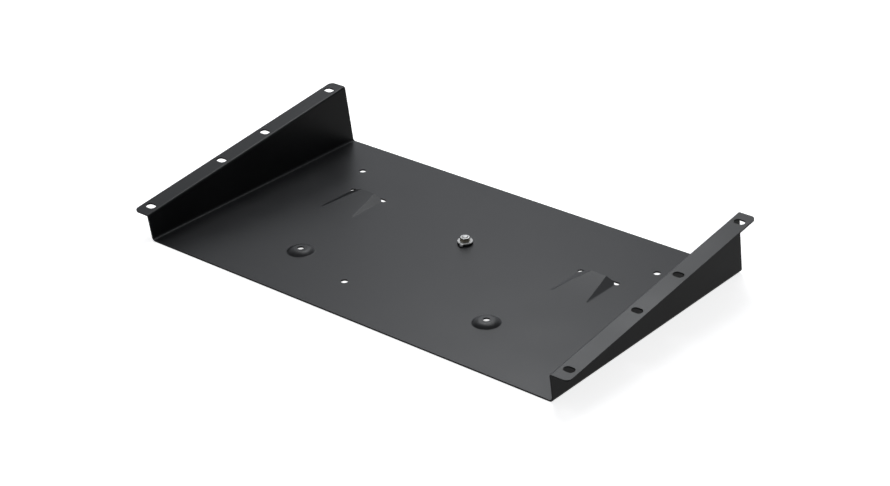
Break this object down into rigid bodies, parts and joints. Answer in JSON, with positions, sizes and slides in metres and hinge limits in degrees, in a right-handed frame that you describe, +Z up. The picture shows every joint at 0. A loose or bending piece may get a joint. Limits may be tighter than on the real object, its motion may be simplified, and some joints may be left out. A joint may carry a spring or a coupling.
{
  "type": "rack mount ear bracket",
  "caption": "Folded black steel tray bracket with sloping slotted rack ears on wedge shaped walls, pressed bosses, lanced ramps and a nutted stud in its floor.",
  "frame": {"origin": "middle of the floor's underside", "axes": "+X across the rack, +Y from the low end of the ears to the high end, +Z up out of the floor"},
  "size_m": [0.4826, 0.2652, 0.0607],
  "materials": {
    "powder_coat": "fine satin black powder coat",
    "zinc_plate": "bright zinc plate",
    "black_rubber": "matt black rubber"
  },
  "bodies": {
    "root": {"tray": "powder_coat", "clinch_stud": "zinc_plate", "rubber_washer": "black_rubber", "tab_washer": "zinc_plate", "hex_nut": "zinc_plate"}
  },
  "joints": []
}
